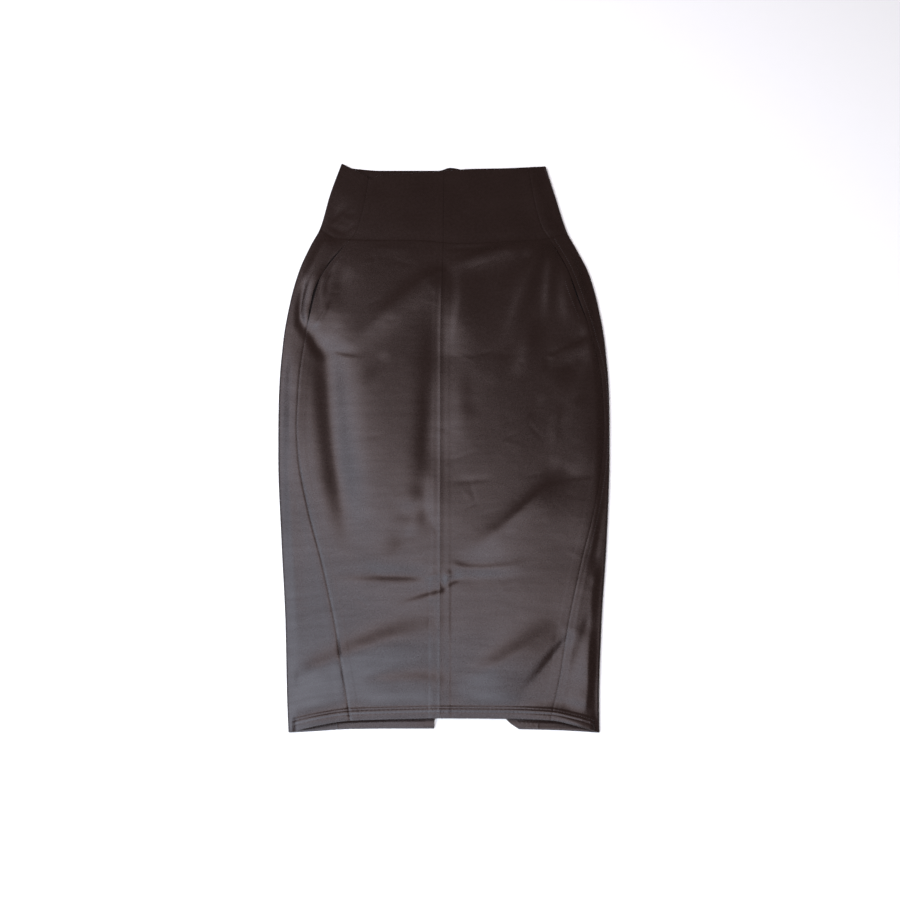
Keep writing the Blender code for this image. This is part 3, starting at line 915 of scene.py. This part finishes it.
def insetSpread(first, last, count, firstSeam=True, lastSeam=True):
    # count steps from first to last, closer together beside a seam; first and last may be arrays
    first, last = np.broadcast_arrays(np.asarray(first, float), np.asarray(last, float))
    sign = np.sign(last - first)
    insets = np.array(panelCount["seamInsets"])
    head = [first + sign * i for i in insets] if firstSeam else [first]
    tail = [last - sign * i for i in insets[::-1]] if lastSeam else [last]
    inner = count - len(head) - len(tail) + 2
    shares = np.linspace(0.0, 1.0, inner + 1)[1:-1]
    middle = [head[-1] + (tail[0] - head[-1]) * share for share in shares]
    return np.stack(head + middle + tail, -1)


def rowTable(parts):
    level, depth, drop = (np.array(column, float) for column in zip(*parts))
    step = np.hypot(np.diff(level), np.diff(depth)) + np.abs(np.diff(drop))
    run = np.concatenate([[0.0], np.cumsum(step)])
    return {"level": level, "depth": depth, "drop": drop, "run": run}


def turnedEdge(level, towards):
    # rows round a turned edge; towards is 1 at the hem and -1 at the waist
    bulge = towards * panelCount["edgeBulge"] * edgeRadius
    angles = np.radians(panelCount["edgeAngles"])
    return [(level, edgeRadius * (1 - math.cos(a)), bulge * math.sin(a)) for a in angles]


def skirtRows(count):
    first, last = skirt["bandDepth"] + clearEdge, skirt["length"] - edgeRadius
    near, closer = panelCount["nearHem"]
    plain = insetSpread(first, last - near, count - closer, True, False)
    outside = np.concatenate([plain, np.linspace(last - near, last, closer + 1)[1:]])
    inside = np.linspace(last, last - skirt["hemDepth"], panelCount["insideHem"])
    parts = [(level, 0.0, 0.0) for level in outside] + turnedEdge(last, 1)
    return rowTable(parts + [(level, doubled, 0.0) for level in inside])


def bandRows(count):
    # down the inside of the band, over its top edge and down its outside
    outside = insetSpread(edgeRadius, skirt["bandDepth"] - clearEdge, count, False, True)
    inside = np.linspace(skirt["bandDepth"] - clearEdge, edgeRadius, panelCount["insideBand"])
    parts = [(level, doubled, 0.0) for level in inside] + turnedEdge(edgeRadius, -1)[::-1]
    return rowTable(parts + [(level, 0.0, 0.0) for level in outside])


def frontColumns(level, side, count):
    inner = centreSeam(level) + side * clearEdge
    outer = princess[side](level) - side * (clearEdge + mouthGap[side](level))
    x = insetSpread(inner, outer, count)
    return x, np.zeros(x.shape), x


def sideColumns(level, side):
    edge = foldLine(level, side)
    first = princess[side](level) + side * clearEdge
    last = -princess[-side](level) + side * clearEdge
    front = insetSpread(first, edge, panelCount["sideFront"], True, False)
    angles = np.linspace(0.0, 180.0, panelCount["sideArc"] + 2)[1:-1]
    back = insetSpread(edge, last, panelCount["sideBack"], False, True)
    around = np.repeat(edge[:, None], len(angles), 1)
    x = np.concatenate([front, around, back], 1)
    turn = np.concatenate([front * 0, around * 0 + angles, back * 0 + 180.0], 1)
    radius = skirt["foldRadius"]
    across = np.concatenate([
        side * front,
        side * around + radius * np.radians(angles),
        side * edge[:, None] + radius * math.pi + side * (edge[:, None] - back),
    ], 1)
    return x, turn, side * across


def centreBack(level, side):
    closed = side * clearEdge - centreSeam(level)
    return np.where(level <= skirt["ventTop"], closed, ventEdge[side](level))


def backColumns(level, side):
    outer = -princess[-side](level) - side * clearEdge
    x = insetSpread(outer, centreBack(level, side), panelCount["backColumns"])
    return x, np.full(x.shape, 180.0), -x


def facingColumns(level, side):
    edge = centreBack(level, side) + side * clearEdge
    shares = np.linspace(1.0, 0.0, panelCount["facingColumns"])
    x = np.stack([edge + side * skirt["facingWidth"] * share for share in shares], -1)
    return x, np.full(x.shape, 180.0), -x


def addPiece(name, bm):
    mesh = bpy.data.meshes.new(name)
    bm.to_mesh(mesh)
    bm.free()
    return addObject(name, mesh)


def layGrid(name, points, run, across, wall):
    # a grid of cloth whose vertices are moved to their places, with its wall from Solidify
    down, over = points.shape[0] - 1, points.shape[1] - 1
    bm = bmesh.new()
    bm.loops.layers.uv.new("cloth")
    bmesh.ops.create_grid(bm, x_segments=over, y_segments=down, size=0.5, calc_uvs=True)
    for face in bm.faces:
        face.smooth = True
    for edge in bm.edges:
        edge.smooth = not edge.is_boundary
    piece = addPiece(name, bm)
    mesh = piece.data
    flat = np.empty(len(mesh.vertices) * 3)
    mesh.vertices.foreach_get("co", flat)
    flat = flat.reshape(-1, 3)
    row = np.rint((flat[:, 1] + 0.5) * down).astype(int)
    column = np.rint((flat[:, 0] + 0.5) * over).astype(int)
    mesh.vertices.foreach_set("co", points[row, column].ravel())
    corners = np.empty(len(mesh.loops), int)
    mesh.loops.foreach_get("vertex_index", corners)
    spot = np.stack([across[row, column], -run[row]], -1)[corners] * 0.001
    mesh.uv_layers["cloth"].data.foreach_set("uv", spot.ravel())
    mesh.update()
    thickness = piece.modifiers.new("wall", "SOLIDIFY")
    thickness.thickness = wall * millimetre
    thickness.offset = -1.0
    return piece


def finishPiece(piece, slot, node):
    piece.data.materials.append(finishes[slot])
    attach(piece, "root")
    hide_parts(node)
    return piece


def cadNode(name):
    # skirtFrontLeft stands for the model's skirt_front_left
    return "".join("_" + letter.lower() if letter.isupper() else letter for letter in name)


def sewPanel(name, rows, columns, side):
    x, turn, across = columns(rows["level"], side)
    if side == right:
        x, turn, across = x[:, ::-1], turn[:, ::-1], across[:, ::-1]
    level, depth, drop = (rows[key][:, None] for key in ("level", "depth", "drop"))
    points = clothPoint(level, x, turn, depth, drop)
    piece = layGrid(name, points, rows["run"], across, skirt["wall"])
    return finishPiece(piece, "knit", cadNode(name))


def facingRows():
    # down the inside of the panel and over the turned-up hem
    hemTop = skirt["length"] - skirt["hemDepth"] - edgeRadius
    above, below = skirt["facingStep"]
    first, last = skirt["facingEnds"]
    panelRows, hemRowCount = panelCount["facingRows"]
    onPanel = np.linspace(skirt["ventTop"] + first, hemTop - above, panelRows)
    onHem = np.linspace(hemTop - below, skirt["length"] - last, hemRowCount)
    parts = [(level, nextPly, 0.0) for level in onPanel]
    return rowTable(parts + [(level, 2 * nextPly, 0.0) for level in onHem])


def frontPiece(count):
    return lambda level, side: frontColumns(level, side, panelCount[count])


word = {left: "Left", right: "Right"}
kinds = {
    "skirtFront": (skirtRows(panelCount["skirtRows"]), frontPiece("frontColumns")),
    "skirtSide": (skirtRows(panelCount["skirtRows"]), sideColumns),
    "skirtBack": (skirtRows(panelCount["backRows"]), backColumns),
    "waistbandFront": (bandRows(panelCount["bandRows"]), frontPiece("bandFrontColumns")),
    "waistbandSide": (bandRows(panelCount["bandRows"]), sideColumns),
    "waistbandBack": (bandRows(panelCount["bandRows"]), backColumns),
    "ventFacing": (facingRows(), facingColumns),
}
panels = {}
for side in (left, right):
    for kind, (rows, columns) in kinds.items():
        key = kind + word[side]
        panels[key] = sewPanel(key, rows, columns, side)
print("panels: front, side, back, waistband and facings on both sides")


# Pocket bags, two plies each

def pocketPly(name, side, reach, height):
    bag = pocketBag
    y = np.linspace(bag["topY"], bag["bottomY"], bag["rows"])
    shape = np.array(bag["shape"], float)
    inner = np.interp(y, shape[:, 0], shape[:, 1])
    low = np.interp(y, shape[:, 0], shape[:, 2])
    level = skirt["length"] / 2 - y - bag["levelShift"]
    onSeam = np.abs(princess[side](np.clip(level, *bag["levels"]))) + reach
    corner = bag["cornerY"]
    outer = np.where(y > corner, onSeam, np.minimum(low, onSeam))
    shift = bag["leftShift"] if side == left else 0.0
    moved = np.where(y > corner, 0.0, shift * ease((corner - y) / bag["shiftOver"]))
    inner, outer = side * (inner - shift), side * (outer - moved)
    shares = np.linspace(0.0, 1.0, bag["columns"])
    x = np.stack([inner + (outer - inner) * share for share in shares], -1)
    if side == left:
        x = x[:, ::-1]
    ys = np.repeat(y[:, None], x.shape[1], 1)
    soft = undulation(x, ys, *bag["waves"])
    points = np.stack([x, ys, height + bag["plyWall"] + soft], -1) * millimetre
    run = y[0] - y
    piece = layGrid(name, points[:, ::-1], run, x[:, ::-1], bag["plyWall"])
    panels[name] = finishPiece(piece, "pocket_knit", cadNode(name))


for side in (left, right):
    pocketPly("pocketBackPly" + word[side], side, pocketBag["underlap"], pocketBag["backPly"])
    pocketPly("pocketFrontPly" + word[side], side, -pocketBag["setback"], pocketBag["frontPly"])
print("pockets: two plies each")


# Stitches. Each is a small spindle of thread laid along its row.

stitching = {
    "length": 1.25,  # half length of a stitch
    "width": 0.30,
    "height": 0.22,
    "pitch": 3.1,
    "sink": 0.10,  # below the cloth's face beside it
    "ahead": 0.8,  # where a stitch looks for its direction
    "hemEnds": 1.0,  # short of the side folds
    "ventEnds": 1.5,  # short of the vent's edges
    "hemPoints": 400,
    "princessEnds": (3, 2),  # short of the band and the hem edge
    "princessOffset": {left: 1.1, right: 6.2},
    "princessPoints": 600,
    "mouthLevels": {left: (136, 226), right: (178, 240)},
    "mouthInset": 9.0,
    "mouthPoints": 120,
}


def stitchRow(bm, level, x, turn, away=1.0):
    # stitches at an even pitch along the line through these points of the cloth
    points = clothPoint(level, x, turn, stitching["sink"]) / millimetre
    gaps = np.linalg.norm(np.diff(points, axis=0), axis=1)
    run = np.concatenate([[0.0], np.cumsum(gaps)])
    count = int(run[-1] / stitching["pitch"])
    for i in range(count):
        at = (i + 0.5) * stitching["pitch"]
        place, ahead = (Vector([float(np.interp(spot, run, points[:, axis])) for axis in range(3)])
                        for spot in (at, at + stitching["ahead"]))
        along = (ahead - place).normalized()
        up = Vector((0.0, 0.0, away))
        side = up.cross(along).normalized()
        turned = Matrix((along, side, along.cross(side))).transposed().to_4x4()
        size = Matrix.Diagonal((stitching["length"], stitching["width"], stitching["height"], 1.0))
        placed = Matrix.Scale(millimetre, 4) @ Matrix.Translation(place) @ turned @ size
        bmesh.ops.create_icosphere(bm, subdivisions=1, radius=1.0, matrix=placed)


def stitchPiece(name, draw):
    bm = bmesh.new()
    draw(bm)
    piece = addPiece(name, bm)
    piece.data.shade_smooth()
    piece.data.materials.append(finishes["thread"])
    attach(piece, "root")
    return piece


def hemRows(bm, onBack):
    count = stitching["hemPoints"]
    turn, away = (180.0, -1.0) if onBack else (0.0, 1.0)
    for above in seamRelief["hemStitches"]:
        level = skirt["length"] - above
        first = foldLine(level, left) + stitching["hemEnds"]
        last = foldLine(level, right) - stitching["hemEnds"]
        spans = [(first, last)]
        if onBack:
            spans = [(first, float(ventEdge[left](level)) - stitching["ventEnds"]),
                     (float(ventEdge[right](level)) + stitching["ventEnds"], last)]
        for start, end in spans:
            x = np.linspace(start, end, count)
            stitchRow(bm, np.full(count, level), x, np.full(count, turn), away)


def princessRows(bm):
    above, below = stitching["princessEnds"]
    count = stitching["princessPoints"]
    level = np.linspace(skirt["bandDepth"] + above, skirt["length"] - below, count)
    gap = {left: mouthGap[left](level), right: 0.0}
    for side in (left, right):
        x = princess[side](level) + stitching["princessOffset"][side] + gap[side]
        stitchRow(bm, level, x, np.zeros(count))


def mouthRows(bm):
    for side in (left, right):
        level = np.linspace(*stitching["mouthLevels"][side], stitching["mouthPoints"])
        x = princess[side](level) - side * (stitching["mouthInset"] + mouthGap[side](level))
        stitchRow(bm, level, x, np.zeros(len(level)))


stitches = {
    "front": stitchPiece("hemStitchesFront", lambda bm: hemRows(bm, False)),
    "back": stitchPiece("hemStitchesBack", lambda bm: hemRows(bm, True)),
    "princess": stitchPiece("princessStitches", princessRows),
    "mouths": stitchPiece("pocketMouthStitches", mouthRows),
}
print("stitches: hem, princess seams and pocket mouths")


# Every panel and ply is a sheet of cloth; this pass only reads which side each one is on

for key, piece in panels.items():
    side = "Left" if key.endswith("Left") else "Right"


# The floor and the light

studio = {
    "floorColour": (0.92, 0.915, 0.85),
    "floorTint": 0.985,  # its grain's share of that colour
    "floorFinish": (0.9, 0.1),  # roughness and specular
    "floorGrain": (40.0, 3.0),
    "floorSize": 16.0,
    "floorDrop": 0.0002,  # below the skirt, in metres
    # one broad soft light in four parts: name, place, size, turn in degrees, radiance, colour
    "lights": [
        ("warmUpper", (-0.12, 0.45, 2.06), (3.44, 0.30), -34.0, 3.1, (1.0, 0.76, 0.73)),
        ("middle", (-0.30, 0.18, 2.06), (3.44, 0.36), -34.0, 5.7, (0.86, 0.80, 0.90)),
        ("coolLower", (-0.96, -0.80, 2.06), (3.44, 2.00), -34.0, 4.45, (0.79, 0.84, 1.0)),
        ("coolFar", (-1.02, -0.88, 2.02), (2.40, 1.40), -34.0, 1.6, (0.80, 0.86, 1.0)),
    ],
    "lightAim": 0.98,  # 0 faces straight down and 1 faces the skirt's middle
    "fill": 0.05,
    "fillColour": (1.0, 0.98, 0.86),
}


def addFloor():
    bm = bmesh.new()
    bmesh.ops.create_grid(bm, x_segments=2, y_segments=2, size=studio["floorSize"] / 2)
    floor = addPiece("floor", bm)
    floor.data.transform(Matrix.Translation((0.0, 0.0, -studio["floorDrop"])))
    material, tree, shader = newMaterial("paleFloor")
    place = tree.nodes.new("ShaderNodeTexCoord")
    grain = noiseNode(tree, place.outputs["Object"], *studio["floorGrain"])
    darker = [value * studio["floorTint"] for value in studio["floorColour"]]
    tint = twoColours(tree, grain, studio["floorColour"], darker)
    tree.links.new(tint, shader.inputs["Base Color"])
    roughness, specular = studio["floorFinish"]
    shader.inputs["Roughness"].default_value = roughness
    shader.inputs["Specular IOR Level"].default_value = specular
    floor.data.materials.append(material)


def addLights():
    for name, place, size, turn, radiance, colour in studio["lights"]:
        data = bpy.data.lights.new(name, "AREA")
        data.shape = "RECTANGLE"
        data.size, data.size_y = size
        data.energy = radiance * math.pi * data.size * data.size_y
        data.color = colour
        lamp = addObject(name, data)
        place = Vector(place)
        back = Vector((0.0, 0.0, 1.0)).lerp(place.normalized(), studio["lightAim"]).normalized()
        across = Vector((math.cos(math.radians(turn)), math.sin(math.radians(turn)), 0.0))
        across = (across - back * across.dot(back)).normalized()
        axes = Matrix((across, back.cross(across), back)).transposed()
        lamp.matrix_world = Matrix.Translation(place) @ axes.to_4x4()
        lamp.visible_camera = False
    world = bpy.data.worlds.new("room")
    world.use_nodes = True
    background = world.node_tree.nodes["Background"]
    background.inputs["Color"].default_value = (*studio["fillColour"], 1.0)
    background.inputs["Strength"].default_value = studio["fill"]
    bpy.context.scene.world = world
    bpy.context.scene.view_settings.view_transform = "Standard"


addFloor()
addLights()
print("studio: floor and light")
